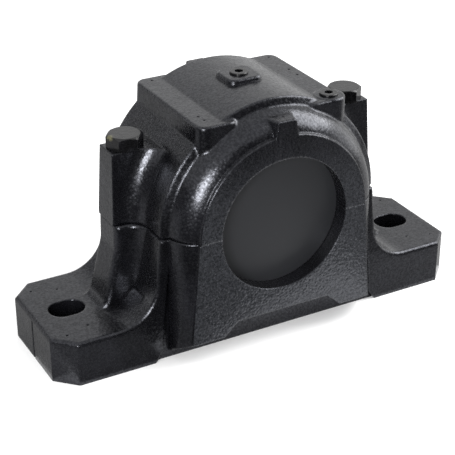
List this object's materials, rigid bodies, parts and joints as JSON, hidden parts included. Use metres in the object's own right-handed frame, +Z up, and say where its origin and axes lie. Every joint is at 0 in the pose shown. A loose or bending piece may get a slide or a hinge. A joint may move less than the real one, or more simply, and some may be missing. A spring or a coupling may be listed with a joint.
{
  "type": "split plummer block",
  "caption": "Split two-bolt plummer block housing, closed at one end, with a self-aligning spherical roller bearing on an adapter sleeve for an 80 mm shaft.",
  "frame": {"origin": "middle of the base's underside, on the surface it stands on", "axes": "+X along the foot, +Y along the shaft towards the open end, +Z up"},
  "size_m": [0.345, 0.14, 0.1945],
  "materials": {
    "casting_paint": "sand casting under black semi-gloss enamel",
    "casting_paint_bare": "turned grey iron, oiled",
    "black_steel": "black oxide with the block's paint over it",
    "ground_steel": "ground bearing steel",
    "cage_steel": "pressed sheet steel",
    "cover_plastic": "smooth black plastic",
    "seal_rubber": "black nitrile rubber"
  },
  "bodies": {
    "housing": {"housing_base": "casting_paint", "housing_cap": "casting_paint", "cap_bolts": "black_steel", "dowel_pins": "ground_steel", "top_grease_plug": "black_steel", "side_grease_plug": "black_steel", "end_cover": "cover_plastic", "end_cover_seal_ring": "seal_rubber", "shaft_seal_upper": "seal_rubber", "shaft_seal_lower": "seal_rubber", "locating_ring_front": "casting_paint_bare", "locating_ring_rear": "casting_paint_bare", "bearing_outer_ring": "ground_steel"},
    "alignment": {"guide_ring": "ground_steel"},
    "inner_set": {"bearing_inner_ring": "ground_steel", "adapter_sleeve": "ground_steel", "lock_nut": "ground_steel", "lock_washer": "ground_steel"},
    "roller_set": {"rollers_front_row": "ground_steel", "rollers_rear_row": "ground_steel", "cage_front": "cage_steel", "cage_rear": "cage_steel"}
  },
  "joints": [
    {"name": "self_align", "type": "hinge", "parent": "housing", "child": "alignment", "pos_m": [0, 0, 0.1], "axis": [1, 0, 0], "range_deg": [-1, 1]},
    {"name": "shaft_spin", "type": "hinge", "parent": "alignment", "child": "inner_set", "pos_m": [0, 0, 0.1], "axis": [0, 1, 0], "continuous": true},
    {"name": "roller_orbit", "type": "hinge", "parent": "alignment", "child": "roller_set", "pos_m": [0, 0, 0.1], "axis": [0, 1, 0], "continuous": true}
  ],
  "couplings": [
    {"joint": "roller_orbit", "follows": "shaft_spin", "ratio": 0.4283}
  ]
}
